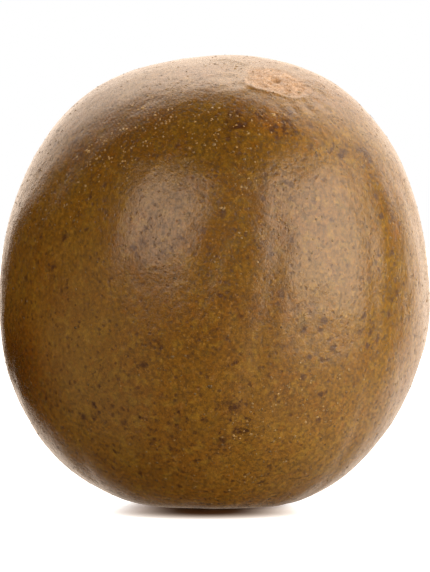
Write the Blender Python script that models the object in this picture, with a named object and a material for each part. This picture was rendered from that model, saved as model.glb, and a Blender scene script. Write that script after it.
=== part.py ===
"""A dried monk fruit: one brittle, slightly dented ovoid that stands on a small flat spot.

Units are metres and +Z is up. The origin is at the middle of the base. The fruit's face is towards -Y.
Directions are given as (azimuth, elevation) in degrees, seen from the heart, the centre of the widest girth:
azimuth 0 is the face and 90 is +X, and elevation 90 is straight up.
"""

import math

import bmesh
import bpy
import numpy as np

# The ovoid: its widest radius, its reach from the heart to each end, and how square its shoulders are.
GIRTH_RADIUS = 0.0275
STEM_REACH = 0.0320
BLOSSOM_REACH = 0.02765
STEM_POWER = 2.35
BLOSSOM_POWER = 2.26
AXIS = (21.0, 78.5)

# The flat spot: how far the underside is pressed in, and how softly it turns up round the spot.
HEART_HEIGHT = 0.02665
SPOT_SOFTNESS = 0.0003
SPOT_CUT = 0.00004

# The stem scar, a pale sunken disc with a lip round one side and a pit where the stalk broke off.
STEM_END = (33.0, 62.0)
SCAR_RADIUS = 0.0039
SCAR_DEPTH = 0.00012
SCAR_EDGE = 0.0007
LIP_HEIGHT = 0.0001
LIP_WIDTH = 0.0004
LIP_SIDE = math.radians(-40)
PIT_RADIUS = 0.0007
PIT_DEPTH = 0.0005
PUCKERS = 17
PUCKER_HEIGHT = 0.00003
PUCKER_REACH = 0.0066
PUCKER_WIDTH = 0.0016

# The blossom scar at the other end: a shallow dimple round the dry stub of the style.
DIMPLE_RADIUS = 0.0021
DIMPLE_DEPTH = 0.00035
STUB_RADIUS = 0.0006
STUB_HEIGHT = 0.0004

# Shallow valleys that run from end to end, by longitude in degrees round the stem end.
VALLEY_LONGITUDES = (-165, -131, -97, -62, -27, -3, 16, 53, 88, 124, 158)
VALLEY_DEPTH = 0.00012
VALLEY_WIDTH = 0.0016

# Dents from drying, and swellings where the depth is negative: (direction, spread in degrees, depth).
DENTS = (
    ((90, -6), 20, -0.00095),
    ((90, 68), 20, -0.00044),
    ((-90, 76), 18, 0.00040),
    ((-90, 8), 20, -0.00042),
    ((-90, -50), 22, -0.00017),
    ((90, -34), 20, 0.00017),
    ((0, 8), 22, 0.00018),
    ((-38, -24), 20, 0.00025),
    ((150, 20), 24, 0.00060),
    ((-140, -12), 20, 0.00045),
    ((178, -38), 18, -0.00030),
)

# The mesh: rings of points from the stem end to the blossom end, closer together over the two scars.
SEGMENTS = 68
RINGS = 56
STEM_CROWDING = 0.78
STEM_ZONE = 0.25
BLOSSOM_CROWDING = 0.65
BLOSSOM_ZONE = 0.12

SKIN_COLOUR = (0.27, 0.13, 0.03, 1.0)
SKIN_ROUGHNESS = 0.42
CREASE_ANGLE = math.radians(35)


def direction(azimuth, elevation):
    """The unit vector of a direction given in degrees."""
    a, e = math.radians(azimuth), math.radians(elevation)
    return np.array((math.sin(a) * math.cos(e), -math.cos(a) * math.cos(e), math.sin(e)))


def stem_frame():
    """Unit vectors at the stem end: outwards, towards the fruit's face, and to the right of that."""
    outwards = direction(*STEM_END)
    face = np.array((0.0, -1.0, 0.0))
    face -= outwards * (face @ outwards)
    face /= np.linalg.norm(face)
    return outwards, face, np.cross(outwards, face)


def ovoid_reach(way):
    """Distance from the heart to the plain ovoid along each unit vector."""
    along = way @ direction(*AXIS)
    across = np.sqrt(np.clip(1 - along**2, 0, 1))
    power = np.where(along > 0, STEM_POWER, BLOSSOM_POWER)
    half = np.where(along > 0, STEM_REACH, BLOSSOM_REACH)
    return ((across / GIRTH_RADIUS) ** power + (np.abs(along) / half) ** power) ** (-1 / power)


def step(value):
    """0 below 0, 1 above 1, and a smooth rise between."""
    t = np.clip(value, 0, 1)
    return t * t * (3 - 2 * t)


def dents(way):
    """Depth of the broad dents, less the swellings."""
    depth = np.zeros(len(way))
    for (azimuth, elevation), spread, deepest in DENTS:
        apart = 2 * (1 - way @ direction(azimuth, elevation))
        depth += deepest * np.exp(-apart / math.radians(spread) ** 2)
    return depth


def valleys(polar, longitude):
    """Depth of the end-to-end valleys, which fade out towards both ends."""
    depth = np.zeros(len(polar))
    for centre in VALLEY_LONGITUDES:
        turn = (longitude - math.radians(centre) + math.pi) % (2 * math.pi) - math.pi
        off = turn * np.sin(polar) * GIRTH_RADIUS
        depth += VALLEY_DEPTH * np.exp(-((off / VALLEY_WIDTH) ** 2))
    return depth * step(np.sin(polar) * 1.6 - 0.5)


def stem_scar(off, longitude):
    """Height of the stem scar at a distance from its centre: its lip and puckers, less its floor and pit."""
    ragged = 1 + 0.07 * np.sin(3 * longitude + 0.6) + 0.05 * np.sin(5 * longitude + 2.1)
    edge = off * ragged - SCAR_RADIUS
    height = -SCAR_DEPTH * step(0.5 - edge / (2 * SCAR_EDGE))
    uneven = step(0.4 + 0.7 * np.cos(longitude - LIP_SIDE)) + 0.15 * np.sin(7 * longitude)
    height += LIP_HEIGHT * uneven * np.exp(-(((edge - LIP_WIDTH) / LIP_WIDTH) ** 2))
    height -= PIT_DEPTH * np.exp(-((off / PIT_RADIUS) ** 2))
    puckered = np.exp(-(((off - PUCKER_REACH) / PUCKER_WIDTH) ** 2))
    wave = np.cos(PUCKERS * longitude + 1.5 * np.sin(2 * longitude))
    return height + PUCKER_HEIGHT * wave * puckered


def blossom_scar(off):
    """Height of the blossom scar at a distance from its centre: the stub, less the dimple round it."""
    dimple = DIMPLE_DEPTH * np.exp(-((off / DIMPLE_RADIUS) ** 4))
    return (STUB_HEIGHT + DIMPLE_DEPTH) * np.exp(-((off / STUB_RADIUS) ** 4)) - dimple


def skin_points(way):
    """The points of the fruit's skin along unit vectors from the heart."""
    outwards, face, right = stem_frame()
    polar = np.arccos(np.clip(way @ outwards, -1, 1))
    longitude = np.arctan2(way @ right, way @ face)
    reach = ovoid_reach(way) - dents(way) - valleys(polar, longitude)
    reach += stem_scar(polar * STEM_REACH, longitude)
    reach += blossom_scar((math.pi - polar) * BLOSSOM_REACH)
    points = way * reach[:, None]
    risen = (points[:, 2] + HEART_HEIGHT) / SPOT_SOFTNESS
    points[:, 2] = SPOT_SOFTNESS * np.logaddexp(0, risen) - SPOT_CUT
    return points


def ring_angles():
    """Polar angles of the rings from the stem end, crowded together over the two scars."""
    share = (np.arange(RINGS) + 0.5) / RINGS
    spacing = 1 - STEM_CROWDING * np.exp(-((share / STEM_ZONE) ** 2))
    spacing -= BLOSSOM_CROWDING * np.exp(-(((1 - share) / BLOSSOM_ZONE) ** 2))
    angles = np.concatenate(((0,), np.cumsum(spacing)))
    return math.pi * angles / angles[-1]


def unit_vectors(sphere):
    """Where each vertex of a plain sphere points, once its rings are crowded and its pole is at the stem end."""
    spots = np.array([vertex.co for vertex in sphere.verts])
    even = np.arccos(np.clip(spots[:, 2], -1, 1))
    polar = np.interp(even, np.linspace(0, math.pi, RINGS + 1), ring_angles())
    longitude = np.arctan2(spots[:, 1], spots[:, 0])
    outwards, face, right = stem_frame()
    sideways = np.outer(np.cos(longitude), face) + np.outer(np.sin(longitude), right)
    return np.sin(polar)[:, None] * sideways + np.outer(np.cos(polar), outwards)


def centre_on_origin(mesh):
    """Moves the middle of the base to the origin."""
    spots = np.array([vertex.co for vertex in mesh.verts])
    middle = (spots.min(axis=0) + spots.max(axis=0)) / 2
    bmesh.ops.translate(mesh, verts=mesh.verts, vec=(-middle[0], -middle[1], 0))


def cut_flat_spot(mesh):
    """Takes off what lies below the surface that the fruit stands on, and closes the cut with one flat face."""
    everything = mesh.verts[:] + mesh.edges[:] + mesh.faces[:]
    cut = bmesh.ops.bisect_plane(
        mesh, geom=everything, dist=1e-7, plane_co=(0, 0, 0), plane_no=(0, 0, 1), clear_inner=True
    )
    rim = [piece for piece in cut["geom_cut"] if isinstance(piece, bmesh.types.BMEdge)]
    bmesh.ops.edgeloop_fill(mesh, edges=rim)


def skin_material():
    """The dry brown skin."""
    material = bpy.data.materials.new("dry_skin")
    material.use_nodes = True
    shader = material.node_tree.nodes["Principled BSDF"]
    shader.inputs["Base Color"].default_value = SKIN_COLOUR
    shader.inputs["Roughness"].default_value = SKIN_ROUGHNESS
    shader.inputs["Metallic"].default_value = 0.0
    return material


def monk_fruit():
    """The fruit, as one closed solid."""
    shape = bmesh.new()
    bmesh.ops.create_uvsphere(shape, u_segments=SEGMENTS, v_segments=RINGS, radius=1)
    shape.verts.ensure_lookup_table()
    for vertex, point in zip(shape.verts, skin_points(unit_vectors(shape))):
        vertex.co = point
    cut_flat_spot(shape)
    centre_on_origin(shape)
    bmesh.ops.recalc_face_normals(shape, faces=shape.faces)
    mesh = bpy.data.meshes.new("monk_fruit")
    shape.to_mesh(mesh)
    shape.free()
    mesh.shade_smooth()
    mesh.set_sharp_from_angle(angle=CREASE_ANGLE)
    mesh.materials.append(skin_material())
    fruit = bpy.data.objects.new("monk_fruit", mesh)
    bpy.context.scene.collection.objects.link(fruit)


def main():
    """Clears the scene and builds the fruit."""
    for old in list(bpy.data.objects):
        bpy.data.objects.remove(old)
    monk_fruit()


main()
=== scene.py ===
"""A dried monk fruit, dressed: mottled skin with fine relief, pale granules and sparse fine hairs.

Units are metres and +Z is up. The fruit's face is towards -Y. Directions are (azimuth, elevation) in
degrees from the heart of the fruit: azimuth 0 is the face and 90 is +X, and elevation 90 is straight up.
Sizes in the materials' noise and marks are in millimetres.
"""

import math

import bpy
import numpy as np
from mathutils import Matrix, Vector


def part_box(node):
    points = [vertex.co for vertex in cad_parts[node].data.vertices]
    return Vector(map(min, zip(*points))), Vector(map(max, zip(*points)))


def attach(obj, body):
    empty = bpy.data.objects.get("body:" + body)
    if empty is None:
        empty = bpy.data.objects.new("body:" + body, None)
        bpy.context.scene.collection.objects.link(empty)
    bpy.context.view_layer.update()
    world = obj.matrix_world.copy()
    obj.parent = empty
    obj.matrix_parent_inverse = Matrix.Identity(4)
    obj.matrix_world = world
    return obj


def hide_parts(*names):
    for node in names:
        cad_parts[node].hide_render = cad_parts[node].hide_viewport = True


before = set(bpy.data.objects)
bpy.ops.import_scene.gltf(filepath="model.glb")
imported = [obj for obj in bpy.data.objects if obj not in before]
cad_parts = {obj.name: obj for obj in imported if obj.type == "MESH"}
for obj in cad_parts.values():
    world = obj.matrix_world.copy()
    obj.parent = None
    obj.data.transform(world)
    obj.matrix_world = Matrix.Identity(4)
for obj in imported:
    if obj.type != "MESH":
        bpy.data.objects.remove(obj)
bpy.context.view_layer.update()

MM = 0.001

# The fruit's form, by the same formulas and values as its solid. First the ovoid: its widest radius, its
# reach from the heart to each end, how square its shoulders are, and the way that it leans.
GIRTH_RADIUS = 0.0275
STEM_REACH = 0.0320
BLOSSOM_REACH = 0.02765
STEM_POWER = 2.35
BLOSSOM_POWER = 2.26
AXIS = (21.0, 78.5)

# The flat spot: how far the underside is pressed in, and how softly it turns up round the spot.
HEART_HEIGHT = 0.02665
SPOT_SOFTNESS = 0.0003
SPOT_CUT = 0.00004

# The stem scar, a pale sunken disc with a lip round one side and a pit where the stalk broke off.
STEM_END = (33.0, 62.0)
SCAR_RADIUS = 0.0039
SCAR_DEPTH = 0.00012
SCAR_EDGE = 0.00070
LIP_HEIGHT = 0.00010
LIP_WIDTH = 0.0004
LIP_SIDE = math.radians(-40)
PIT_RADIUS = 0.0007
PIT_DEPTH = 0.0005
PUCKERS = 17
PUCKER_HEIGHT = 0.00003
PUCKER_REACH = 0.0066
PUCKER_WIDTH = 0.0016

# The blossom scar at the other end: a shallow dimple round the dry stub of the style.
DIMPLE_RADIUS = 0.0021
DIMPLE_DEPTH = 0.00035
STUB_RADIUS = 0.0006
STUB_HEIGHT = 0.0004

# Shallow valleys that run from end to end, by longitude in degrees round the stem end.
VALLEY_LONGITUDES = (-165, -131, -97, -62, -27, -3, 16, 53, 88, 124, 158)
VALLEY_DEPTH = 0.00012
VALLEY_WIDTH = 0.0016

# Dents from drying, and swellings where the depth is negative: (direction, spread in degrees, depth).
DENTS = (
    ((90, -6), 20, -0.00095),
    ((90, 68), 20, -0.00044),
    ((-90, 76), 18, 0.00040),
    ((-90, 8), 20, -0.00042),
    ((-90, -50), 22, -0.00017),
    ((90, -34), 20, 0.00017),
    ((0, 8), 22, 0.00018),
    ((-38, -24), 20, 0.00025),
    ((150, 20), 24, 0.00060),
    ((-140, -12), 20, 0.00045),
    ((178, -38), 18, -0.00030),
)

# The skin's mesh: the squares along a side of each of its six patches, and how strongly its points are
# drawn together round the stem scar.
PATCH = 127
CROWDING = 0.35

# Fine relief on the skin: (wavelength, height) of each layer of random waves, and the waves in a layer.
RELIEF = (
    (9.0 * MM, 0.030 * MM),
    (4.0 * MM, 0.010 * MM),
    (1.9 * MM, 0.005 * MM),
    (1.1 * MM, 0.003 * MM),
)
WAVES = 26

# On the stem scar: fibres as (number, height, distance from the pit to the first of them), crumbs as
# (wavelength, height), and the pale line along its lip as (distance outside the edge, width).
SCAR_FIBRES = (23, 0.035 * MM, 1.2 * MM)
SCAR_CRUMBS = (0.9 * MM, 0.045 * MM)
LIP_LINE = (0.3 * MM, 0.20 * MM)

# Rough patches beside the stem scar: (direction, spread in mm, strength), and their (wavelength, height).
SCRUFF_PLACES = (((13, 77), 2.0, 1.0), ((20, 73), 2.0, 1.0), ((38, 55), 2.4, 1.0), ((52, 58), 2.4, 1.0))
SCRUFF_RELIEF = (0.8 * MM, 0.03 * MM)

# Seeds of the random draws. Each layer of the relief has its own, counted up from the first.
RELIEF_SEED = 11
CRUMB_SEED = 71
SCRUFF_SEED = 91
WANDER_SEED = 31
BREAK_SEED = 32
GRANULE_SEED = 5
HAIR_SEED = 8

# Places with more dark blotches: (direction, spread in mm, strength).
DARK_PLACES = (
    ((8, 46), 1.7, 1.3),
    ((16, 48), 1.4, 1.0),
    ((27, 48), 1.7, 1.2),
    ((23, 44), 1.8, 1.3),
    ((51, 38), 2.6, 0.9),
    ((56, 24), 2.4, 0.8),
    ((54, 2), 3.0, 0.6),
    ((13.5, 14.5), 1.6, 0.9),
    ((16.5, 3), 1.5, 0.8),
    ((15, 9), 1.2, 0.7),
    ((41, 37), 1.4, 0.9),
    ((20, 30), 2.5, 0.5),
    ((53, 13), 3.0, 0.5),
    ((-17, 12), 2.6, 0.5),
    ((-15, -10), 1.6, 0.9),
    ((6, -27), 2.0, 0.9),
    ((9, -34), 1.6, 1.0),
    ((-22, -38), 4.5, 0.40),
    ((-36, -30), 4.0, 0.30),
    ((-12, -47), 3.0, 0.5),
    ((36, -14), 4.0, 0.6),
    ((48, -6), 3.0, 0.6),
    ((-120, 20), 7.0, 0.8),
    ((160, -15), 8.0, 0.8),
    ((120, 35), 6.0, 0.8),
    ((-160, 45), 6.0, 0.8),
    ((100, -30), 6.0, 0.8),
)

# Places with more pale granules.
PALE_PLACES = (
    ((-31, 38), 4.2, 2.0),
    ((-21, 50), 4.4, 2.0),
    ((-40, 30), 3.0, 0.9),
    ((-4, 45), 3.4, 1.2),
    ((8, 44), 2.6, 0.8),
    ((27, 52), 3.4, 0.8),
    ((20, 47), 2.6, 1.2),
    ((8, 30), 4.0, 0.6),
    ((9, -35), 2.4, 1.0),
    ((7, 71), 2.6, 1.0),
    ((34, -24), 8.0, 0.5),
    ((45, 38), 4.0, 0.7),
    ((58, 20), 1.8, 0.9),
    ((38, 50), 3.0, 0.7),
    ((50, 8), 5.0, 0.5),
    ((15, 18), 4.0, 0.5),
    ((5, -52), 6.0, 0.4),
    ((-60, 30), 6.0, 0.6),
    ((-130, 35), 7.0, 0.8),
    ((170, 10), 8.0, 0.6),
    ((110, 20), 7.0, 0.7),
    ((-100, -20), 7.0, 0.6),
)

# Rust-coloured places.
RUST_PLACES = (
    ((20, 46), 1.6, 0.8),
    ((-66, -17), 6.0, 1.0),
    ((57, 18), 1.6, 0.7),
    ((40, 57), 2.5, 0.7),
    ((55, 58), 2.5, 0.7),
    ((-120, -10), 5.0, 0.8),
    ((130, 25), 4.0, 0.8),
    ((175, -30), 5.0, 0.7),
)

# Places that are golden olive.
GOLDEN_PLACES = (
    ((60, 5), 11.0, 1.0),
    ((48, 38), 6.0, 0.8),
    ((40, -35), 10.0, 0.6),
    ((-30, -15), 12.0, 0.5),
    ((-140, 10), 12.0, 0.7),
    ((150, -20), 12.0, 0.8),
)

# Places where the skin is evener, with less grain.
CALM_PLACES = (
    ((-40, -10), 12.0, 0.55),
    ((-28, 18), 5.0, 0.35),
    ((-28, -36), 10.0, 0.45),
    ((6, -26), 9.0, 0.25),
    ((120, -10), 10.0, 0.4),
)

# Painted light and shade: broad places where the skin is painted paler to stand for more light, or darker
# to stand for shade where the share is negative: (direction, spread in mm, share).
PAINTED_LIGHT_AND_SHADE = (
    ((-52, 8), 15.0, 0.08),
    ((-48, -4), 9.0, 0.16),
    ((-68, -17), 6.0, -0.50),
    ((0, -62), 14.0, 0.24),
    ((62, -18), 12.0, 0.07),
    ((32, -30), 11.0, 0.03),
    ((48, -42), 8.0, 0.10),
    ((3, 42), 8.0, -0.22),
    ((18, 55), 5.0, 0.05),
    ((36, 40), 7.0, 0.12),
    ((-30, 48), 10.0, -0.12),
    ((4, 15), 8.0, -0.16),
    ((140, 10), 14.0, -0.08),
    ((-150, 35), 14.0, 0.08),
)

# Colours, as linear red, green and blue.
GROUND_BROWN = (0.150, 0.068, 0.0072)
GROUND_OLIVE = (0.172, 0.087, 0.0094)
WARM_BROWN = (0.166, 0.069, 0.0055)
STREAK_BROWN = (0.110, 0.047, 0.0063)
OLIVE = (0.214, 0.123, 0.0140)
RUST = (0.159, 0.058, 0.0040)
SPECK_BROWN = (0.060, 0.021, 0.0045)
BLOTCH_BROWN = (0.050, 0.016, 0.0050)
RUST_BRIGHT = (0.230, 0.078, 0.0035)
CRUMB_TAN = (0.450, 0.250, 0.0600)
FLECK_TAN = (0.408, 0.281, 0.1190)
SCUFF_DARK = (0.085, 0.045, 0.0120)
SCUFF_PALE = (0.340, 0.205, 0.0600)
CORK_BROWN = (0.350, 0.195, 0.0900)
CORK_TAN = (0.580, 0.365, 0.2000)
LIP_TAN = (0.580, 0.370, 0.2100)
GRANULE_BROWN = (0.260, 0.150, 0.0420)
GRANULE_TAN = (0.410, 0.258, 0.0850)
HAIR_ROOT = (0.240, 0.144, 0.0560)
HAIR_TIP = (0.496, 0.368, 0.2080)

# How much of each colour is laid on, at most.
WARM_SHARE = 0.45
STREAK_SHARE = 0.30
OLIVE_SHARE = 0.55
GOLDEN_SHARE = 0.35
RUST_SHARE = 0.50
RUSTY_SHARE = 0.95
CRUMB_SHARE = 0.40
SPECK_SHARE = 0.68
BLOTCH_SHARE = 0.82
BRUISE_SHARE = 0.85
FLECK_SHARE = 0.75
SCUFF_SHARE = 0.9
CORK_SHARE = 0.88
LIP_SHARE = 0.45

# The grain: its size in mm, and how far it darkens and lightens the skin.
GRAIN_SIZE = 0.55
GRAIN_TONE = (-0.46, 0.57)

# The skin's gloss: roughness between the grains and on them, and how much duller the marks are.
ROUGHNESS = 0.235
ROUGH_CHANGE = (0.12, -0.01)
MARK_DULLNESS = 0.08
SPECULAR = 0.62

# The heights of the relief that is too fine for the mesh, and the distance between wrinkles.
LUMP_HEIGHT = 0.04 * MM
WRINKLE_HEIGHT = 0.0045 * MM
WRINKLE_PITCH = 0.42 * MM
GRAIN_HEIGHT = 0.040 * MM
CELL_HEIGHT = 0.016 * MM
MARK_HEIGHT = 0.030 * MM
SPECK_DEPTH = 0.6
FIBRE_HEIGHT = 0.12 * MM

# Marks in the skin's colour: (size of the cells that may hold one, smallest radius, largest radius, share
# of the cells that do).
SPECKS = (0.80, 0.12, 0.26, 0.30)
BLOTCHES = (1.25, 0.22, 0.56, 0.03)
FLECKS = (1.15, 0.08, 0.17, 0.03)

# The granules: how many, the chance of one away from the pale places, and the lowest height that has any.
GRANULES = 2000
GRANULE_BASE = 0.10
GRANULE_FLOOR = 1.2 * MM

# A granule's radius in mm as (least, spread, skew), how far one grows whose random number passes the first
# of GRANULE_LARGE, its stretch to one side and the unevenness of its edge.
GRANULE_RADIUS = (0.075, 0.12, 1.6)
GRANULE_LARGE = (0.93, 0.5)
GRANULE_STRETCH = (0.7, 1.4)
GRANULE_EDGE = (0.8, 1.2)

# A granule's dome: its rings as (width, height) from its foot up and then its top, in radii, and its sides.
GRANULE_RINGS = ((1.0, -0.30), (0.85, 0.12), (0.45, 0.24))
GRANULE_TOP = 0.28
GRANULE_SIDES = 8

# How bright the granules are, and the share of that which is left away from the pale places.
GRANULE_SHADE = (0.5, 1.2)
LONE_SHADE = 0.55

# The hairs: how many, the chance of one away from their places, their length and radius in mm, how far they
# bend and lift, how deep their roots are, their knots and sides, and the lowest height that has any.
HAIRS = 420
HAIR_BASE = 0.35
HAIR_LENGTH = (0.45, 1.25)
HAIR_RADIUS = (0.014, 0.024)
HAIR_BEND = 0.7
HAIR_LIFT = (0.10, 0.35)
HAIR_DEPTH = 0.02 * MM
HAIR_KNOTS = 6
HAIR_SIDES = 3
HAIR_FLOOR = 2.5 * MM

# How many random directions are drawn for each granule or hair that is wanted, and the small turn that
# finds the skin's slope there.
DRAWS = 14
NUDGE = 0.02

# The darker bands from end to end: their longitudes in degrees, their width and how far they wander.
STREAK_LONGITUDES = (-150, -118, -84, -58, -38, -18, -4, 9, 24, 44, 66, 95, 128, 160)
STREAK_WIDTH = 1.5 * MM
STREAK_WANDER = 1.6 * MM

# Where the skin is finely wrinkled, and where the hairs gather: (direction, spread in mm, strength).
SHOULDERS = (((-28, 48), 7.0, 1.0), ((-60, 40), 9.0, 0.7), ((-130, 50), 8.0, 0.6))
HAIR_PLACES = (((33, 62), 7.0, 1.0), ((0, 72), 6.0, 0.8), ((35, -20), 9.0, 0.8), ((-40, 40), 8.0, 0.4))

# The view: the point at the picture's centre, how far above level and how far away the camera is, the
# height that the picture spans there, and the width of the camera's film in mm.
AIM = (0.00005, 0.0, 0.02858)
CAMERA_ELEVATION = 1.0
CAMERA_DISTANCE = 0.55
VIEW_HEIGHT = 0.07484
FILM_WIDTH = 36.0

# The softboxes, each a bright core and a dimmer, wider edge: (direction, distance, size, radiance). They
# face the heart of the fruit. The tints are of the light from all round and of the left and right softbox.
HEART = np.array((0.0, 0.0, 0.029))
LIGHT_TINT = (1.0, 0.82, 0.67)
LEFT_TINT = (1.0, 0.81, 0.65)
RIGHT_TINT = (1.0, 0.87, 0.71)
LEFT_CORE = ((-27.0, 18.0), 0.48, (0.27, 0.31), 2.15)
LEFT_EDGE = ((-28.5, 19.0), 0.52, (0.42, 0.44), 1.3)
RIGHT_CORE = ((63.0, 13.0), 0.48, (0.54, 0.48), 2.45)
RIGHT_EDGE = ((66.5, 13.0), 0.52, (0.66, 0.64), 1.3)

# The light from all round. A WAY is a direction, and its FADE gives the cosines of the angles from it at
# which the light starts and at which it is full. Heights are from -1, straight down, to 1. The light from
# behind fades in over BACK_LOW and out over TOP_FADE. It has a bright band as (height, width, strength) and
# a dark wedge that opens to the left.
BACK_WAY = (174.0, 10.0)
BACK_FADE = (0.155, 0.85)
BACK_LOW = (-0.80, 0.10)
BACK_LIGHT = 2.2
HIGH_BAND = (0.82, 0.16, 2.9)
TOP_FADE = (0.90, 0.945)
WEDGE_TIP = 0.26
WEDGE_MIDDLE = -0.06
WEDGE_GROWTH = 0.85
WEDGE_BELOW = -0.62
WEDGE_FADE = (-0.03, 0.06)

# The light from the right fades in over SIDE_LOW, and a dark gap parts it from the light from behind. A
# little light comes from the lower left, and some from below that reflections don't see.
GAP_WAY = (106.0, 5.0)
GAP_FADE = (0.84, 0.97)
SIDE_WAY = (83.0, -15.0)
SIDE_FADE = (0.13, 1.0)
SIDE_LIGHT = 0.84
SIDE_LOW = (-1.2, -0.35)
LEFT_WAY = (-70.0, -24.0)
LEFT_FADE = (0.74, 0.95)
LEFT_LIGHT = 0.20
LOW_FADE = (-0.3, 0.0)
LOW_LIGHT = 0.43
BACKDROP_WHITE = 1.0

# The floor: pale, with the fruit's shadow partly cast by the lamps and partly painted on it in brown, and
# glowing from within past that painted shadow. In mm, the shadow's half width grows towards the viewer, and
# it ends there between the two distances of SHADOW_END. The fades are in half widths.
FLOOR_RADIUS = 4.0
FLOOR_RINGS = 24
FLOOR_SIDES = 96
FLOOR_WHITE = (0.80, 0.88, 0.94)
SHADOW_BROWN = (0.060, 0.024, 0.009)
SHADOW_OFFSET = (0.9, 0.0, 0.0)
SHADOW_HALF = 11.0
SHADOW_GROWTH = 0.14
SHADOW_END = (13.0, 29.0)
SHADOW_FADE = (0.20, 1.0)
GLOW_FADE = (0.25, 1.0)
GLOW_POWER = 2.2
SHADOW_RIM = (1.0, 0.62, 0.45)
FLOOR_ROUGHNESS = 0.5
FLOOR_SPECULAR = 0.1
FAR = 1e6
WHITE = (1.0, 1.0, 1.0)

# The dark card under the floor that only reflections see, a sheet of painted shade that stands for the
# fruit's
# contact shadow in them: (radius, height), and where it fades, in mm.
CONTACT_CARD = (20.0 * MM, -0.05 * MM)
CARD_SIDES = 48
CARD_FADE = (4.0, 18.0)


def direction(azimuth, elevation):
    """The unit vector of a direction given in degrees."""
    a, e = math.radians(azimuth), math.radians(elevation)
    return np.array((math.sin(a) * math.cos(e), -math.cos(a) * math.cos(e), math.sin(e)))


def stem_frame():
    """Unit vectors at the stem end: outwards, towards the fruit's face, and to the right of that."""
    outwards = direction(*STEM_END)
    face = np.array((0.0, -1.0, 0.0))
    face -= outwards * (face @ outwards)
    face /= np.linalg.norm(face)
    return outwards, face, np.cross(outwards, face)


def ovoid_reach(way):
    """Distance from the heart to the plain ovoid along each unit vector."""
    along = way @ direction(*AXIS)
    across = np.sqrt(np.clip(1 - along**2, 0, 1))
    power = np.where(along > 0, STEM_POWER, BLOSSOM_POWER)
    half = np.where(along > 0, STEM_REACH, BLOSSOM_REACH)
    return ((across / GIRTH_RADIUS) ** power + (np.abs(along) / half) ** power) ** (-1 / power)


def step(value):
    """0 below 0, 1 above 1, and a smooth rise between."""
    t = np.clip(value, 0, 1)
    return t * t * (3 - 2 * t)


def dents(way):
    """Depth of the broad dents, less the swellings."""
    depth = np.zeros(len(way))
    for (azimuth, elevation), spread, deepest in DENTS:
        apart = 2 * (1 - way @ direction(azimuth, elevation))
        depth += deepest * np.exp(-apart / math.radians(spread) ** 2)
    return depth


def valleys(polar, longitude):
    """Depth of the end-to-end valleys, which fade out towards both ends."""
    depth = np.zeros(len(polar))
    for centre in VALLEY_LONGITUDES:
        turn = (longitude - math.radians(centre) + math.pi) % (2 * math.pi) - math.pi
        off = turn * np.sin(polar) * GIRTH_RADIUS
        depth += VALLEY_DEPTH * np.exp(-((off / VALLEY_WIDTH) ** 2))
    return depth * step(np.sin(polar) * 1.6 - 0.5)


def scar_edge(off, longitude):
    """How far outside the stem scar's ragged edge a point is."""
    ragged = 1 + 0.07 * np.sin(3 * longitude + 0.6) + 0.05 * np.sin(5 * longitude + 2.1)
    return off * ragged - SCAR_RADIUS


def lip_share(longitude):
    """How high the stem scar's lip stands at a longitude, as a share of its height."""
    return step(0.4 + 0.7 * np.cos(longitude - LIP_SIDE))


def stem_scar(off, longitude):
    """Height of the stem scar at a distance from its centre: lip and puckers, less its floor and pit."""
    edge = scar_edge(off, longitude)
    height = -SCAR_DEPTH * step(0.5 - edge / (2 * SCAR_EDGE))
    uneven = lip_share(longitude) + 0.15 * np.sin(7 * longitude)
    height += LIP_HEIGHT * uneven * np.exp(-(((edge - LIP_WIDTH) / LIP_WIDTH) ** 2))
    height -= PIT_DEPTH * np.exp(-((off / PIT_RADIUS) ** 2))
    puckered = np.exp(-(((off - PUCKER_REACH) / PUCKER_WIDTH) ** 2))
    wave = np.cos(PUCKERS * longitude + 1.5 * np.sin(2 * longitude))
    return height + PUCKER_HEIGHT * wave * puckered


def blossom_scar(off):
    """Height of the blossom scar at a distance from its centre: the stub, less the dimple round it."""
    dimple = DIMPLE_DEPTH * np.exp(-((off / DIMPLE_RADIUS) ** 4))
    return (STUB_HEIGHT + DIMPLE_DEPTH) * np.exp(-((off / STUB_RADIUS) ** 4)) - dimple


def waves(points, wavelength, seed):
    """A smooth random field of unit spread over the points, with features about a wavelength across."""
    chance = np.random.default_rng(seed)
    field = np.zeros(len(points))
    for _ in range(WAVES):
        towards = chance.normal(size=3)
        towards /= np.linalg.norm(towards)
        pitch = 2 * math.pi / (wavelength * chance.uniform(0.75, 1.35))
        field += np.cos(points @ towards * pitch + chance.uniform(0, 2 * math.pi))
    return field * math.sqrt(2 / WAVES)


def scar_roughness(way, polar, longitude):
    """Extra relief on the stem scar's floor: fibres from the pit outwards, and crumbs."""
    off = polar * STEM_REACH
    inside = step(0.5 - scar_edge(off, longitude) / (2 * SCAR_EDGE))
    number, fibre_height, start = SCAR_FIBRES
    fibres = np.cos(number * longitude + 2 * np.sin(3 * longitude)) * step(off / start - 0.4)
    wavelength, crumb_height = SCAR_CRUMBS
    crumbs = waves(way * STEM_REACH, wavelength, CRUMB_SEED)
    return inside * (fibre_height * fibres + crumb_height * crumbs)


def nearness(way, where, spread, reach=GIRTH_RADIUS):
    """1 at a direction and 0 well away from it. The spread is in mm on a ball as large as the reach."""
    apart = np.arccos(np.clip(way @ direction(*where), -1, 1)) * reach
    return np.exp(-((apart / (spread * MM)) ** 2))


def places(way, table, reach=GIRTH_RADIUS):
    """How near each point is to the places in a table, from 0 to the strongest place's strength."""
    near = np.zeros(len(way))
    for where, spread, strength in table:
        near = np.maximum(near, strength * nearness(way, where, spread, reach))
    return near


def scruff(way):
    """Rough patches beside the stem scar, where the skin has flaked."""
    return places(way, SCRUFF_PLACES, STEM_REACH)


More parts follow.
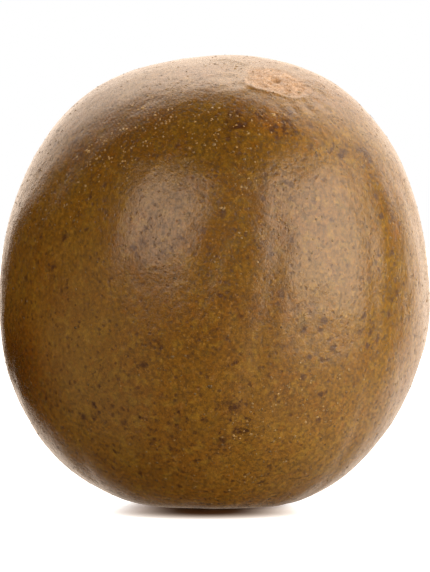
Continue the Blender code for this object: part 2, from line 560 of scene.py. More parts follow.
def skin_points(way):
    """The points of the fruit's skin along unit vectors from the heart, before the move onto its base."""
    outwards, face, right = stem_frame()
    polar = np.arccos(np.clip(way @ outwards, -1, 1))
    longitude = np.arctan2(way @ right, way @ face)
    reach = ovoid_reach(way) - dents(way) - valleys(polar, longitude)
    reach += stem_scar(polar * STEM_REACH, longitude)
    reach += blossom_scar((math.pi - polar) * BLOSSOM_REACH)
    for layer, (wavelength, height) in enumerate(RELIEF):
        reach += height * waves(way * reach[:, None], wavelength, RELIEF_SEED + layer)
    reach += scar_roughness(way, polar, longitude)
    wavelength, height = SCRUFF_RELIEF
    reach += height * scruff(way) * waves(way * STEM_REACH, wavelength, SCRUFF_SEED)
    points = way * reach[:, None]
    risen = (points[:, 2] + HEART_HEIGHT) / SPOT_SOFTNESS
    points[:, 2] = SPOT_SOFTNESS * np.logaddexp(0, risen) - SPOT_CUT
    points[:, 2] = np.maximum(points[:, 2], 0)
    return points


def ball_of_patches():
    """Unit vectors of the vertices, and the corners of the square faces, of a ball made of six patches."""
    line = np.tan(np.linspace(-math.pi / 4, math.pi / 4, PATCH + 1))
    u, v = (side.ravel() for side in np.meshgrid(line, line, indexing="ij"))
    one = np.ones_like(u)
    patches = ((one, u, v), (-one, -u, v), (-u, one, v), (u, -one, v), (-v, u, one), (v, u, -one))
    spots = np.concatenate([np.stack(patch, 1) for patch in patches])
    spots /= np.linalg.norm(spots, axis=1)[:, None]
    at = np.arange((PATCH + 1) ** 2).reshape(PATCH + 1, PATCH + 1)
    square = np.stack((at[:-1, :-1], at[1:, :-1], at[1:, 1:], at[:-1, 1:]), -1).reshape(-1, 4)
    faces = np.concatenate([square + side * (PATCH + 1) ** 2 for side in range(6)])
    rounded = np.round(spots * 1e6).astype(np.int64)
    _, first, index = np.unique(rounded, axis=0, return_index=True, return_inverse=True)
    return spots[first], index.reshape(-1)[faces]


def unit_vectors(spots):
    """The ball's points turned so that its top is at the stem end, and drawn together there."""
    polar = np.arccos(np.clip(spots[:, 2], -1, 1))
    longitude = np.arctan2(spots[:, 1], spots[:, 0])
    polar = polar - CROWDING * np.sin(polar) * (1 + np.cos(polar)) / 2
    outwards, face, right = stem_frame()
    sideways = np.outer(np.cos(longitude), face) + np.outer(np.sin(longitude), right)
    return np.sin(polar)[:, None] * sideways + np.outer(np.cos(polar), outwards)


def onto_base():
    """The move that puts the skin's points where the solid is."""
    low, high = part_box("monk_fruit")
    ball, _ = ball_of_patches()
    points = skin_points(ball)
    middle = (points.min(axis=0) + points.max(axis=0)) / 2
    return np.array(((low.x + high.x) / 2 - middle[0], (low.y + high.y) / 2 - middle[1], 0.0))


def painted_light_and_shade(way):
    """The painted light and shade: how much paler than usual the skin is painted, as a factor."""
    factor = np.ones(len(way))
    for where, spread, share in PAINTED_LIGHT_AND_SHADE:
        factor += share * nearness(way, where, spread)
    return factor


def mesh_of(name, points, faces):
    """A mesh object from arrays of points and of faces that all have as many corners."""
    mesh = bpy.data.meshes.new(name)
    corners = faces.shape[1]
    mesh.vertices.add(len(points))
    mesh.vertices.foreach_set("co", points.astype(np.float32).ravel())
    mesh.loops.add(faces.size)
    mesh.loops.foreach_set("vertex_index", faces.astype(np.int32).ravel())
    mesh.polygons.add(len(faces))
    mesh.polygons.foreach_set("loop_start", np.arange(0, faces.size, corners, dtype=np.int32))
    mesh.update(calc_edges=True)
    mesh.validate()
    mesh.shade_smooth()
    made = bpy.data.objects.new(name, mesh)
    bpy.context.scene.collection.objects.link(made)
    return made


def give(piece, name, values):
    """Stores a number for each of the piece's vertices."""
    layer = piece.data.attributes.new(name, "FLOAT", "POINT")
    layer.data.foreach_set("value", values.astype(np.float32))


class Nodes:
    """Short names for adding nodes to a new material, or to the owner that is given."""

    def __init__(self, name, owner=None):
        self.material = owner or bpy.data.materials.new(name)
        self.material.use_nodes = True
        self.tree = self.material.node_tree
        self.shader = self.tree.nodes.get("Principled BSDF")
        self.place = self.scaled_place()

    def add(self, kind, **settings):
        """A new node with these settings."""
        node = self.tree.nodes.new(kind)
        for key, value in settings.items():
            setattr(node, key, value)
        return node

    def link(self, value, socket):
        """Joins an output to the socket, or sets the socket to a plain value."""
        if isinstance(value, bpy.types.NodeSocket):
            self.tree.links.new(value, socket)
        else:
            socket.default_value = value

    def scaled_place(self):
        """The point on the object, in millimetres."""
        source = self.add("ShaderNodeTexCoord").outputs["Object"]
        scale = self.add("ShaderNodeVectorMath", operation="SCALE")
        self.link(source, scale.inputs[0])
        scale.inputs["Scale"].default_value = 1 / MM
        return scale.outputs[0]

    def noise(self, size, detail=2.0, rough=0.5, place=None):
        """Smooth random values with features about this many millimetres across."""
        node = self.add("ShaderNodeTexNoise")
        self.link(place or self.place, node.inputs["Vector"])
        node.inputs["Scale"].default_value = 1 / size
        node.inputs["Detail"].default_value = detail
        node.inputs["Roughness"].default_value = rough
        return node.outputs["Fac"]

    def wobbled(self, size, amount):
        """The place, pushed about by noise, so that what is drawn with it has ragged edges."""
        node = self.add("ShaderNodeTexNoise")
        self.link(self.place, node.inputs["Vector"])
        node.inputs["Scale"].default_value = 1 / size
        centred = self.add("ShaderNodeVectorMath", operation="SUBTRACT")
        self.link(node.outputs["Color"], centred.inputs[0])
        centred.inputs[1].default_value = (0.5, 0.5, 0.5)
        scaled = self.add("ShaderNodeVectorMath", operation="SCALE")
        self.link(centred.outputs[0], scaled.inputs[0])
        scaled.inputs["Scale"].default_value = amount
        moved = self.add("ShaderNodeVectorMath", operation="ADD")
        self.link(self.place, moved.inputs[0])
        self.link(scaled.outputs[0], moved.inputs[1])
        return moved.outputs[0]

    def cells(self, size, place):
        """(distance from a cell's middle, the cell's random numbers) of cells about this many mm across."""
        node = self.add("ShaderNodeTexVoronoi")
        self.link(place, node.inputs["Vector"])
        node.inputs["Scale"].default_value = 1 / size
        split = self.add("ShaderNodeSeparateColor")
        self.link(node.outputs["Color"], split.inputs[0])
        return node.outputs["Distance"], split.outputs

    def math(self, operation, a, b=0.0, c=0.0):
        """The result of an operation on up to three numbers."""
        node = self.add("ShaderNodeMath", operation=operation)
        for value, socket in zip((a, b, c), node.inputs):
            self.link(value, socket)
        return node.outputs[0]

    def ramp(self, value, low, high, start=0.0, end=1.0, smooth=True):
        """The value stretched from low..high onto start..end, and held there."""
        node = self.add("ShaderNodeMapRange", interpolation_type="SMOOTHSTEP" if smooth else "LINEAR")
        self.link(value, node.inputs["Value"])
        for socket, number in zip(("From Min", "From Max", "To Min", "To Max"), (low, high, start, end)):
            self.link(number, node.inputs[socket])
        return node.outputs[0]

    def mix(self, share, a, b, blend="MIX"):
        """Colour a with a share of colour b laid over it, or multiplied into it."""
        node = self.add("ShaderNodeMix", data_type="RGBA", blend_type=blend)
        self.link(share, node.inputs["Factor"])
        for value, socket in ((a, node.inputs[6]), (b, node.inputs[7])):
            self.link(value if isinstance(value, bpy.types.NodeSocket) else (*value, 1.0), socket)
        return node.outputs[2]

    def given(self, name):
        """A number that the mesh stores for each vertex."""
        return self.add("ShaderNodeAttribute", attribute_name=name).outputs["Fac"]

    def bump(self, height, distance, normal=None):
        """The shading normal of relief that rises this far where height is 1, on top of another normal."""
        node = self.add("ShaderNodeBump")
        self.link(height, node.inputs["Height"])
        node.inputs["Distance"].default_value = distance
        if normal:
            self.link(normal, node.inputs["Normal"])
        return node.outputs[0]

    def spots(self, size, small, large, share, more, place, soft=0.35):
        """Spots of a radius from small to large: a mask that is 1 in them.

        share is how many of the cells hold one, more is added to it, and soft is how blurred the edges are.
        """
        distance, chance = self.cells(size, place)
        radius = self.ramp(chance[0], 0.0, 1.0, small / size, large / size, smooth=False)
        inside = self.math("DIVIDE", distance, radius)
        disc = self.ramp(inside, 1.0 - soft, 1.0 + soft, 1.0, 0.0)
        kept = self.math("LESS_THAN", chance[1], self.math("ADD", share, more))
        return self.math("MULTIPLY", disc, kept)


def skin_material():
    """The dry brown skin: mottled, speckled, streaked from end to end, pale on the stem scar, and with
    broad painted light and shade.
    """
    n = Nodes("dry_skin")
    scar, lip, patch = n.given("scar"), n.given("lip"), n.given("scruff")
    streak, shoulder, rings = n.given("streak"), n.given("shoulder"), n.given("rings")

    # The ground colour: brown to olive over broad patches, with warmer and darker streaks from end to end.
    broad = n.ramp(n.noise(11.0, 3.0, 0.55), 0.36, 0.64)
    colour = n.mix(broad, GROUND_BROWN, GROUND_OLIVE)
    warm = n.ramp(n.noise(5.0, 3.0, 0.6, n.wobbled(9.0, 3.0)), 0.42, 0.66)
    colour = n.mix(n.math("MULTIPLY", warm, WARM_SHARE), colour, WARM_BROWN)
    colour = n.mix(n.math("MULTIPLY", streak, STREAK_SHARE), colour, STREAK_BROWN)

    # Mottling: small olive and rusty clouds, then the grain, about as fine as the skin's cells, with the
    # painted light and shade multiplied in, and crumbs.
    olive = n.ramp(n.noise(1.5, 4.0, 0.65), 0.48, 0.66)
    golden = n.math("MULTIPLY", n.given("golden"), GOLDEN_SHARE)
    olive = n.math("MULTIPLY_ADD", olive, OLIVE_SHARE, golden)
    colour = n.mix(olive, colour, OLIVE)
    rust = n.ramp(n.noise(1.1, 4.0, 0.7, n.wobbled(3.0, 2.0)), 0.54, 0.68)
    colour = n.mix(n.math("MULTIPLY", rust, RUST_SHARE), colour, RUST)
    rusty = n.ramp(n.noise(0.9, 3.0, 0.7), 0.38, 0.60, 0.25, RUSTY_SHARE)
    colour = n.mix(n.math("MULTIPLY", n.given("rusty"), rusty), colour, RUST_BRIGHT)
    grain = n.noise(GRAIN_SIZE, 3.0, 0.8)
    lively = n.math("SUBTRACT", 1.0, n.given("calm"))
    uneven = n.ramp(grain, 0.34, 0.67, *GRAIN_TONE, smooth=False)
    uneven = n.math("MULTIPLY_ADD", uneven, lively, 1.0)
    # shade is the grain times the painted light and shade of the broad places.
    shade = n.math("MULTIPLY", uneven, n.given("painted_light_and_shade"))
    colour = n.mix(1.0, colour, shade, "MULTIPLY")
    crumbs = n.ramp(n.noise(0.38, 3.0, 0.6, n.wobbled(0.8, 0.4)), 0.58, 0.70, 0.0, CRUMB_SHARE)
    crumbs = n.math("MULTIPLY", crumbs, lively)
    colour = n.mix(crumbs, colour, CRUMB_TAN)

    # Dark specks and larger ragged blotches, then pale corky specks.
    gather = n.ramp(n.noise(4.5, 2.0), 0.40, 0.66, 0.0, 0.45)
    gather = n.math("MULTIPLY_ADD", n.given("dark"), 0.5, gather)
    specks = n.spots(*SPECKS, gather, n.wobbled(0.35, 0.25), soft=0.5)
    specks = n.math("MULTIPLY", specks, n.ramp(n.noise(0.25, 3.0, 0.7), 0.30, 0.50, 0.4, 1.0))
    colour = n.mix(n.math("MULTIPLY", specks, SPECK_SHARE), colour, SPECK_BROWN)
    crowd = n.math("MULTIPLY_ADD", n.given("dark"), 0.95, n.math("MULTIPLY", streak, 0.12))
    blotches = n.spots(*BLOTCHES, crowd, n.wobbled(0.55, 1.0), soft=0.5)
    blotches = n.math("MULTIPLY", blotches, n.ramp(n.noise(0.35, 4.0, 0.75), 0.34, 0.52, 0.2, 1.0))
    colour = n.mix(n.math("MULTIPLY", blotches, BLOTCH_SHARE), colour, BLOTCH_BROWN)
    bruise = n.ramp(n.noise(0.85, 4.0, 0.75), 0.47, 0.57)
    bruise = n.math("MULTIPLY", bruise, n.ramp(n.given("dark"), 0.45, 1.0, 0.0, BRUISE_SHARE))
    colour = n.mix(bruise, colour, BLOTCH_BROWN)
    flecks = n.spots(*FLECKS, n.math("MULTIPLY", n.given("pale"), 0.45), n.wobbled(0.4, 0.2))
    colour = n.mix(n.math("MULTIPLY", flecks, FLECK_SHARE), colour, FLECK_TAN)

    # The scuffed skin beside the stem scar, the scar's own pale cork, and its paler lip.
    scuffed = n.mix(n.ramp(n.noise(0.38, 3.0, 0.7), 0.40, 0.62), SCUFF_DARK, SCUFF_PALE)
    scuffs = n.math("MULTIPLY", patch, n.ramp(n.noise(0.9, 2.0), 0.35, 0.60, 0.1, SCUFF_SHARE))
    colour = n.mix(scuffs, colour, scuffed)
    cork = n.mix(n.ramp(n.noise(0.9, 4.0, 0.7), 0.36, 0.66), CORK_BROWN, CORK_TAN)
    ragged = n.math("MULTIPLY_ADD", n.noise(0.8, 4.0, 0.75), 1.8, -0.9)
    worn = n.ramp(n.math("ADD", scar, ragged), 0.10, 1.05, 0.0, CORK_SHARE)
    colour = n.mix(worn, colour, cork)
    paler = n.math("MULTIPLY", lip, n.ramp(n.noise(0.6, 2.0), 0.40, 0.60, 0.0, LIP_SHARE))
    colour = n.mix(paler, colour, LIP_TAN)
    n.link(colour, n.shader.inputs["Base Color"])

    # The gloss, which is least between the grains, on the stem scar and on the dark marks.
    rough = n.ramp(grain, 0.30, 0.56, *(ROUGHNESS + change for change in ROUGH_CHANGE))
    dull = n.math("MAXIMUM", n.math("MULTIPLY", worn, 0.5), n.math("MAXIMUM", specks, blotches))
    n.link(n.math("MULTIPLY_ADD", dull, MARK_DULLNESS, rough), n.shader.inputs["Roughness"])
    n.shader.inputs["Specular IOR Level"].default_value = SPECULAR

    # Relief too fine for the mesh: leathery lumps, wrinkles at the shoulders, the grain, the skin's cells,
    # flecks that stand up, specks that are sunken, and fibres in the stem scar.
    normal = n.bump(n.noise(1.3, 2.0, 0.5), LUMP_HEIGHT)
    turns = n.math("MULTIPLY", rings, 2 * math.pi / WRINKLE_PITCH)
    turns = n.math("MULTIPLY_ADD", n.noise(2.2, 2.0), 9.0, turns)
    wrinkles = n.math("MULTIPLY", n.math("SINE", turns), shoulder)
    normal = n.bump(wrinkles, WRINKLE_HEIGHT, normal)
    normal = n.bump(grain, GRAIN_HEIGHT, normal)
    normal = n.bump(n.noise(0.24, 2.0, 0.6), CELL_HEIGHT, normal)
    marks = n.math("SUBTRACT", flecks, n.math("MULTIPLY", specks, SPECK_DEPTH))
    normal = n.bump(marks, MARK_HEIGHT, normal)
    fibres = n.math("MULTIPLY", n.noise(0.30, 4.0, 0.7), n.math("MAXIMUM", scar, patch))
    normal = n.bump(fibres, FIBRE_HEIGHT, normal)
    n.link(normal, n.shader.inputs["Normal"])
    return n.material


def granule_material():
    """The pale corky granules that stand on the skin."""
    n = Nodes("pale_granules")
    colour = n.mix(n.ramp(n.noise(0.8, 2.0), 0.35, 0.65), GRANULE_BROWN, GRANULE_TAN)
    n.link(n.mix(1.0, colour, n.given("shade"), "MULTIPLY"), n.shader.inputs["Base Color"])
    n.link(n.ramp(n.noise(0.15, 2.0), 0.3, 0.7, 0.28, 0.45), n.shader.inputs["Roughness"])
    n.link(n.bump(n.noise(0.08, 2.0), 0.01 * MM), n.shader.inputs["Normal"])
    n.shader.inputs["Specular IOR Level"].default_value = SPECULAR
    return n.material


def hair_material():
    """The fine dry hairs, paler towards their tips."""
    n = Nodes("fine_hairs")
    colour = n.mix(n.given("along"), HAIR_ROOT, HAIR_TIP)
    colour = n.mix(n.ramp(n.noise(3.0, 2.0), 0.3, 0.7, 0.0, 0.5), colour, HAIR_ROOT)
    n.link(colour, n.shader.inputs["Base Color"])
    n.link(n.ramp(n.noise(0.5, 2.0), 0.3, 0.7, 0.35, 0.55), n.shader.inputs["Roughness"])
    return n.material


def make_skin(shift):
    """The whole skin, which stands for the plain solid."""
    ball, faces = ball_of_patches()
    way = unit_vectors(ball)
    piece = mesh_of("fruit_skin", skin_points(way) + shift, faces)
    outwards, face, right = stem_frame()
    polar = np.arccos(np.clip(way @ outwards, -1, 1))
    longitude = np.arctan2(way @ right, way @ face)
    off = polar * STEM_REACH
    edge = scar_edge(off, longitude)
    give(piece, "scar", step(0.5 - edge / (4 * SCAR_EDGE)))
    line, width = LIP_LINE
    give(piece, "lip", lip_share(longitude) * np.exp(-(((edge - line) / width) ** 2)))
    give(piece, "scruff", scruff(way) * step(edge / SCAR_EDGE))
    give(piece, "dark", places(way, DARK_PLACES))
    give(piece, "pale", places(way, PALE_PLACES))
    give(piece, "rusty", places(way, RUST_PLACES))
    give(piece, "golden", places(way, GOLDEN_PLACES))
    give(piece, "calm", places(way, CALM_PLACES))
    give(piece, "streak", streaks(way, polar, longitude))
    give(piece, "shoulder", places(way, SHOULDERS))
    give(piece, "rings", off)
    give(piece, "painted_light_and_shade", painted_light_and_shade(way))
    piece.data.materials.append(skin_material())
    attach(piece, "root")
    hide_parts("monk_fruit")


def streaks(way, polar, longitude):
    """Darker bands that run from the stem end to the blossom end, broken up by noise."""
    wander = STREAK_WANDER * waves(way * STEM_REACH, 12 * MM, WANDER_SEED)
    band = np.zeros(len(way))
    for centre in STREAK_LONGITUDES:
        turn = (longitude - math.radians(centre) + math.pi) % (2 * math.pi) - math.pi
        off = turn * np.sin(polar) * GIRTH_RADIUS + wander
        band = np.maximum(band, np.exp(-((off / STREAK_WIDTH) ** 2)))
    broken = step(0.5 + 0.45 * waves(way * STEM_REACH, 6 * MM, BREAK_SEED))
    return band * broken * step(np.sin(polar) * 2 - 0.3)


def scattered(count, seed, table, base):
    """Random directions, more of them near the table's places, and the generator that drew them.

    base is the chance of one away from the places.
    """
    chance = np.random.default_rng(seed)
    way = chance.normal(size=(count * DRAWS, 3))
    way /= np.linalg.norm(way, axis=1)[:, None]
    wanted = base + places(way, table)
    way = way[chance.uniform(size=len(way)) < wanted / wanted.max()]
    return way[:count], chance


def stand_on_skin(way, shift):
    """(points, outward unit normals, two tangents) on the skin along unit vectors."""
    side = np.cross(way, np.where(np.abs(way[:, 2:3]) < 0.9, (0.0, 0.0, 1.0), (1.0, 0.0, 0.0)))
    side /= np.linalg.norm(side, axis=1)[:, None]
    other = np.cross(way, side)
    here = skin_points(way)
    along, across = (
        skin_points((way + NUDGE * t) / np.linalg.norm(way + NUDGE * t, axis=1)[:, None]) - here
        for t in (side, other)
    )
    normal = np.cross(along, across)
    normal /= np.linalg.norm(normal, axis=1)[:, None]
    normal *= np.sign((normal * way).sum(axis=1))[:, None]
    along -= normal * (along * normal).sum(axis=1)[:, None]
    along /= np.linalg.norm(along, axis=1)[:, None]
    return here + shift, normal, along, np.cross(normal, along)


def make_granules(shift):
    """Pale corky granules, each a low uneven dome set a little into the skin."""
    way, chance = scattered(GRANULES, GRANULE_SEED, PALE_PLACES, GRANULE_BASE)
    middle, normal, along, across = stand_on_skin(way, shift)
    clear = middle[:, 2] > GRANULE_FLOOR
    middle, normal, along, across = (side[clear] for side in (middle, normal, along, across))
    count = len(middle)
    least, spread, skew = GRANULE_RADIUS
    radius = (least + spread * chance.uniform(size=count) ** skew) * MM
    passed, growth = GRANULE_LARGE
    radius *= 1 + growth * (chance.uniform(size=count) > passed)
    stretch = chance.uniform(*GRANULE_STRETCH, count)
    rounds = GRANULE_SIDES
    angle = 2 * math.pi * (np.arange(rounds) + chance.uniform(size=(count, 1))) / rounds
    uneven = chance.uniform(*GRANULE_EDGE, (count, rounds))
    rings = []
    for wide, high in GRANULE_RINGS:
        x = radius[:, None] * wide * uneven * np.cos(angle) * stretch[:, None]
        y = radius[:, None] * wide * uneven * np.sin(angle)
        ring = x[..., None] * along[:, None] + y[..., None] * across[:, None]
        ring += (radius * high)[:, None, None] * normal[:, None]
        rings.append(middle[:, None] + ring)
    top = middle + normal * (radius * GRANULE_TOP)[:, None]
    points = np.concatenate([np.concatenate(rings, axis=1), top[:, None]], axis=1)
    each = points.shape[1]
    faces = []
    for level in range(len(GRANULE_RINGS) - 1):
        for k in range(rounds):
            a, b = level * rounds + k, level * rounds + (k + 1) % rounds
            faces += [(a, b, b + rounds), (a, b + rounds, a + rounds)]
    last = (len(GRANULE_RINGS) - 1) * rounds
    faces += [(last + k, last + (k + 1) % rounds, each - 1) for k in range(rounds)]
    faces = np.array(faces)[None] + each * np.arange(count)[:, None, None]
    piece = mesh_of("pale_granules", points.reshape(-1, 3), faces.reshape(-1, 3))
    crowded = LONE_SHADE + (1 - LONE_SHADE) * np.clip(places(way, PALE_PLACES), 0, 1)
    shade = chance.uniform(*GRANULE_SHADE, count) * crowded[clear]
    give(piece, "shade", np.repeat(shade, each))
    piece.data.materials.append(granule_material())
    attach(piece, "root")


def make_hairs(shift):
    """Sparse fine hairs that lie nearly flat on the skin, as tapered three-sided tubes."""
    way, chance = scattered(HAIRS, HAIR_SEED, HAIR_PLACES, HAIR_BASE)
    root, normal, along, across = stand_on_skin(way, shift)
    clear = root[:, 2] > HAIR_FLOOR
    root, normal, along, across = (side[clear] for side in (root, normal, along, across))
    count = len(root)
    length = chance.uniform(*HAIR_LENGTH, count) * MM
    thick = chance.uniform(*HAIR_RADIUS, count) * MM
    heading = chance.uniform(0, 2 * math.pi, count)
    bend = chance.normal(0, HAIR_BEND, count)
    lift = chance.uniform(*HAIR_LIFT, count)
    rings = []
    for k in range(HAIR_KNOTS):
        t = k / (HAIR_KNOTS - 1)
        turn = heading + bend * t
        out = np.cos(turn)[:, None] * along + np.sin(turn)[:, None] * across
        spine = root + out * (length * t)[:, None]
        spine += normal * (length * lift * (t - 0.75 * t * t) - HAIR_DEPTH * (1 - t))[:, None]
        side = np.cross(normal, out)
        for corner in range(HAIR_SIDES):
            round_it = 2 * math.pi * corner / HAIR_SIDES
            width = (thick * (1.05 - t))[:, None]
            rings.append(spine + width * (math.cos(round_it) * side + math.sin(round_it) * normal))
    points = np.stack(rings, axis=1)
    faces = []
    for k in range(HAIR_KNOTS - 1):
        for corner in range(HAIR_SIDES):
            a, b = (HAIR_SIDES * k + end % HAIR_SIDES for end in (corner, corner + 1))
            faces += [(a, b, b + HAIR_SIDES), (a, b + HAIR_SIDES, a + HAIR_SIDES)]
    each = HAIR_SIDES * HAIR_KNOTS
    faces += [(0, 2, 1), (each - 3, each - 2, each - 1)]
    faces = np.array(faces)[None] + each * np.arange(count)[:, None, None]
    piece = mesh_of("fine_hairs", points.reshape(-1, 3), faces.reshape(-1, 3))
    give(piece, "along", np.tile(np.repeat(np.linspace(0, 1, HAIR_KNOTS), HAIR_SIDES), count))
    piece.data.materials.append(hair_material())
    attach(piece, "root")


def circle(radius, height, sides):
    """The points of a level circle round the origin."""
    angle = 2 * math.pi * np.arange(sides) / sides
    return [(radius * math.cos(a), radius * math.sin(a), height) for a in angle]


def make_floor():
    """A plain pale floor, with the fruit's soft shadow on it, partly cast by the lamps and partly painted,
    and glowing past it.
    """
    reach = FLOOR_RADIUS * (np.arange(1, FLOOR_RINGS + 1) / FLOOR_RINGS) ** 3
    points = [(0.0, 0.0, 0.0)] + [point for radius in reach for point in circle(radius, 0.0, FLOOR_SIDES)]
    mesh = bpy.data.meshes.new("floor")
    faces = [(0, 1 + k, 1 + (k + 1) % FLOOR_SIDES) for k in range(FLOOR_SIDES)]
    for ring in range(FLOOR_RINGS - 1):
        base = 1 + ring * FLOOR_SIDES
        for k in range(FLOOR_SIDES):
            a, b = base + k, base + (k + 1) % FLOOR_SIDES
            faces.append((a, a + FLOOR_SIDES, b + FLOOR_SIDES, b))
    mesh.from_pydata(points, [], faces)
    floor = bpy.data.objects.new("floor", mesh)
    bpy.context.scene.collection.objects.link(floor)
    n = Nodes("pale_floor")

    # How far from the shadow's middle a point is: sideways and backwards in half widths of the shadow, and
    # towards the viewer as a share of the way to where it ends.
    moved = n.add("ShaderNodeVectorMath", operation="ADD")
    n.link(n.place, moved.inputs[0])
    moved.inputs[1].default_value = SHADOW_OFFSET
    behind = n.add("ShaderNodeVectorMath", operation="MAXIMUM")
    n.link(moved.outputs[0], behind.inputs[0])
    behind.inputs[1].default_value = (-FAR, 0.0, 0.0)
    away = n.add("ShaderNodeVectorMath", operation="LENGTH")
    n.link(behind.outputs[0], away.inputs[0])
    split = n.add("ShaderNodeSeparateXYZ")
    n.link(n.place, split.inputs[0])
    before = n.math("MAXIMUM", n.math("MULTIPLY", split.outputs["Y"], -1.0), 0.0)
    half = n.math("MULTIPLY_ADD", before, SHADOW_GROWTH, SHADOW_HALF)
    away = n.math("DIVIDE", away.outputs["Value"], half)
    ahead = n.ramp(before, *SHADOW_END, smooth=False)
    away = n.math("SQRT", n.math("MULTIPLY_ADD", away, away, n.math("MULTIPLY", ahead, ahead)))

    # The painted shadow: a brown base colour near the fruit, and a glow from within, tinted at the shadow's
    # rim, that whitens the floor past it.
    n.link(n.mix(n.ramp(away, *SHADOW_FADE), SHADOW_BROWN, FLOOR_WHITE), n.shader.inputs["Base Color"])
    glow = n.ramp(away, *GLOW_FADE, 0.0, 1.0, smooth=False)
    n.link(n.math("POWER", glow, GLOW_POWER), n.shader.inputs["Emission Strength"])
    n.link(n.mix(glow, SHADOW_RIM, WHITE), n.shader.inputs["Emission Color"])
    n.shader.inputs["Roughness"].default_value = FLOOR_ROUGHNESS
    n.shader.inputs["Specular IOR Level"].default_value = FLOOR_SPECULAR
    mesh.materials.append(n.material)
    floor.visible_glossy = False
    floor.visible_diffuse = False


def make_contact_card():
    """A dark disc of painted shade just under the floor that only reflections see, and that fades towards
    its edge.
    """
    radius, height = CONTACT_CARD
    mesh = bpy.data.meshes.new("contact_card")
    mesh.from_pydata(circle(radius, height, CARD_SIDES), [], [range(CARD_SIDES)])
    made = bpy.data.objects.new("contact_card", mesh)
    bpy.context.scene.collection.objects.link(made)
    n = Nodes("contact_card")
    away = n.add("ShaderNodeVectorMath", operation="LENGTH")
    n.link(n.place, away.inputs[0])
    n.link(n.ramp(away.outputs["Value"], *CARD_FADE, 1.0, 0.0), n.shader.inputs["Alpha"])
    n.shader.inputs["Base Color"].default_value = (*SHADOW_BROWN, 1.0)
    n.shader.inputs["Specular IOR Level"].default_value = 0.0
    mesh.materials.append(n.material)
    made.visible_camera = made.visible_diffuse = made.visible_shadow = made.visible_transmission = False


def softbox(name, tint, where, distance, size, radiance):
    """An area light in a direction from the fruit, which faces it and which the camera doesn't see."""
    light = bpy.data.lights.new(name, "AREA")
    light.shape = "RECTANGLE"
    light.size, light.size_y = size
    light.energy = radiance * size[0] * size[1] * math.pi
    light.color = tint
    lamp = bpy.data.objects.new(name, light)
    towards = direction(*where)
    lamp.location = HEART + towards * distance
    lamp.rotation_mode = "QUATERNION"
    lamp.rotation_quaternion = Vector(towards).to_track_quat("Z", "Y")
    lamp.visible_camera = False
    bpy.context.scene.collection.objects.link(lamp)


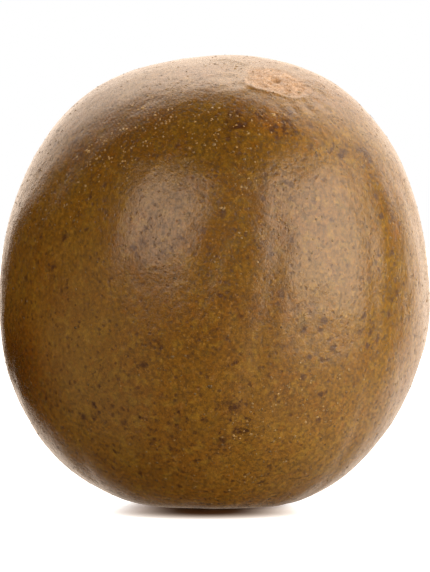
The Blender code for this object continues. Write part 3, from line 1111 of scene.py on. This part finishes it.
def make_world():
    """Warm light from all round the fruit, and plain white for the camera."""
    world = bpy.data.worlds.new("studio")
    bpy.context.scene.world = world
    n = Nodes("studio", world)
    n.tree.nodes.clear()
    way = n.add("ShaderNodeTexCoord").outputs["Generated"]
    split = n.add("ShaderNodeSeparateXYZ")
    n.link(way, split.inputs[0])
    parts = split.outputs
    high = parts["Z"]

    def towards(where, fade):
        """1 in a direction and 0 away from it."""
        node = n.add("ShaderNodeVectorMath", operation="DOT_PRODUCT")
        n.link(way, node.inputs[0])
        node.inputs[1].default_value = direction(*where)
        return n.ramp(node.outputs["Value"], *fade)

    # From behind, with the high band and the wedge.
    middle, width, strength = HIGH_BAND
    off = n.math("DIVIDE", n.math("SUBTRACT", high, middle), width)
    band = n.math("EXPONENT", n.math("MULTIPLY", n.math("MULTIPLY", off, off), -1.0))
    back = n.math("MULTIPLY_ADD", band, strength, BACK_LIGHT)
    behind = n.math("MULTIPLY", towards(BACK_WAY, BACK_FADE), n.ramp(high, *BACK_LOW))
    back = n.math("MULTIPLY", back, behind)
    back = n.math("MULTIPLY", back, n.ramp(high, *TOP_FADE, 1.0, 0.0))
    left = n.math("MULTIPLY", parts["X"], -1.0)
    half = n.math("MULTIPLY", n.math("SUBTRACT", left, WEDGE_TIP), WEDGE_GROWTH)
    off = n.math("SUBTRACT", high, WEDGE_MIDDLE)
    off = n.math("MAXIMUM", off, n.math("MULTIPLY", off, WEDGE_BELOW))
    wedge = n.ramp(n.math("SUBTRACT", half, off), *WEDGE_FADE)
    back = n.math("MULTIPLY", back, n.math("SUBTRACT", 1.0, wedge))

    # From the right, past the gap, and then from the lower left and from below.
    side = n.math("MULTIPLY", towards(SIDE_WAY, SIDE_FADE), n.ramp(high, *SIDE_LOW, 0.0, SIDE_LIGHT))
    open_part = n.math("SUBTRACT", 1.0, towards(GAP_WAY, GAP_FADE))
    light = n.math("MULTIPLY", n.math("ADD", back, side), open_part)
    light = n.math("MULTIPLY_ADD", towards(LEFT_WAY, LEFT_FADE), LEFT_LIGHT, light)
    path = n.add("ShaderNodeLightPath")
    low = n.ramp(high, *LOW_FADE, LOW_LIGHT, 0.0)
    light = n.math("MULTIPLY_ADD", low, path.outputs["Is Diffuse Ray"], light)

    # The camera itself sees plain white.
    seen = path.outputs["Is Camera Ray"]
    shine = n.add("ShaderNodeBackground")
    n.link(n.mix(seen, LIGHT_TINT, WHITE), shine.inputs["Color"])
    n.link(n.ramp(seen, 0.0, 1.0, light, BACKDROP_WHITE), shine.inputs["Strength"])
    n.link(shine.outputs[0], n.add("ShaderNodeOutputWorld").inputs["Surface"])


def make_camera():
    """The photograph's view: almost level, from a little over half a metre."""
    camera = bpy.data.cameras.new("camera")
    camera.sensor_width = FILM_WIDTH
    camera.lens = FILM_WIDTH * CAMERA_DISTANCE / VIEW_HEIGHT
    holder = bpy.data.objects.new("camera", camera)
    towards = direction(0.0, CAMERA_ELEVATION)
    holder.location = np.array(AIM) + towards * CAMERA_DISTANCE
    holder.rotation_euler = (math.radians(90.0 - CAMERA_ELEVATION), 0.0, 0.0)
    camera.clip_start = 0.01
    bpy.context.scene.collection.objects.link(holder)
    bpy.context.scene.camera = holder


def main():
    """Builds the pieces, what they stand on, the lights and the camera."""
    shift = onto_base()
    make_skin(shift)
    make_granules(shift)
    make_hairs(shift)
    make_floor()
    make_contact_card()
    make_world()
    softbox("left_core", LEFT_TINT, *LEFT_CORE)
    softbox("left_edge", LEFT_TINT, *LEFT_EDGE)
    softbox("right_core", RIGHT_TINT, *RIGHT_CORE)
    softbox("right_edge", RIGHT_TINT, *RIGHT_EDGE)
    make_camera()
    bpy.context.scene.view_settings.view_transform = "Standard"
    bpy.context.scene.view_settings.look = "None"


main()
